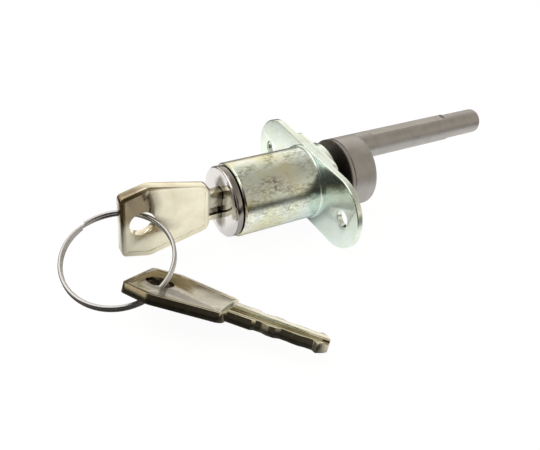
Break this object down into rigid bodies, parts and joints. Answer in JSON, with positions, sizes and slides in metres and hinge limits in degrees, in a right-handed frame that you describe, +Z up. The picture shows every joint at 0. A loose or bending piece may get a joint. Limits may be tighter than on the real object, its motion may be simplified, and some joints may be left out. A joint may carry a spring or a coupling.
{
  "type": "pedestal lock",
  "caption": "Wafer cylinder lock with a round barrel, an obround fixing flange, a turning cam with a long eccentric drive pin, and keys on a split ring",
  "frame": {"origin": "centre of the flange's front face, on the lock axis, where the panel's rear face would be", "axes": "+Y along the lock axis to the rear, the way the drive pin points; +X along the flange's long axis, toward the spare key; +Z up"},
  "size_m": [0.0632, 0.1126, 0.0174],
  "materials": {
    "passivated_zinc": "zinc casting, bright plated, with a yellow-green iridescent passivation",
    "plug_brass": "machined brass, plain",
    "chrome_cap": "bright chrome over pressed brass",
    "wafer_brass": "stamped brass",
    "spring_steel": "plain steel",
    "raw_zinc": null,
    "screw_steel": "black oxide steel",
    "nickel_silver": "stamped nickel silver, pale yellow and bright",
    "ring_steel": "nickel plated spring wire"
  },
  "bodies": {
    "housing": {"lock_body": "passivated_zinc"},
    "rotor": {"plug": "plug_brass", "face_cap": "chrome_cap", "wafer_1": "wafer_brass", "wafer_2": "wafer_brass", "wafer_3": "wafer_brass", "wafer_4": "wafer_brass", "wafer_5": "wafer_brass", "wafer_spring_1": "spring_steel", "wafer_spring_2": "spring_steel", "wafer_spring_3": "spring_steel", "wafer_spring_4": "spring_steel", "wafer_spring_5": "spring_steel", "retaining_wafer": "wafer_brass", "retaining_spring": "spring_steel", "detent_ball": "spring_steel", "detent_spring": "spring_steel", "stop_pin": "spring_steel", "rear_washer": "spring_steel", "retaining_clip": "spring_steel", "drive_cam": "raw_zinc", "grub_screw": "screw_steel"},
    "key_in_lock": {"key_1": "nickel_silver"},
    "ring": {"split_ring": "ring_steel"},
    "spare_key": {"key_2": "nickel_silver"}
  },
  "joints": [
    {"name": "plug_turn", "type": "hinge", "parent": "housing", "child": "rotor", "pos_m": [0, 0, 0], "axis": [0, 1, 0], "range_deg": [0, 180]},
    {"name": "key_withdraw", "type": "slide", "parent": "rotor", "child": "key_in_lock", "axis": [0, -1, 0], "range_m": [0, 0.02]},
    {"name": "ring_swing", "type": "hinge", "parent": "key_in_lock", "child": "ring", "pos_m": [0, -0.0396, 0], "axis": [1, 0, 0], "range_deg": [-40, 40]},
    {"name": "spare_key_swing", "type": "hinge", "parent": "ring", "child": "spare_key", "pos_m": [0.01629, -0.04214, -0.00374], "axis": [-0.3855, 0.8776, 0.285], "range_deg": [-30, 30]}
  ]
}
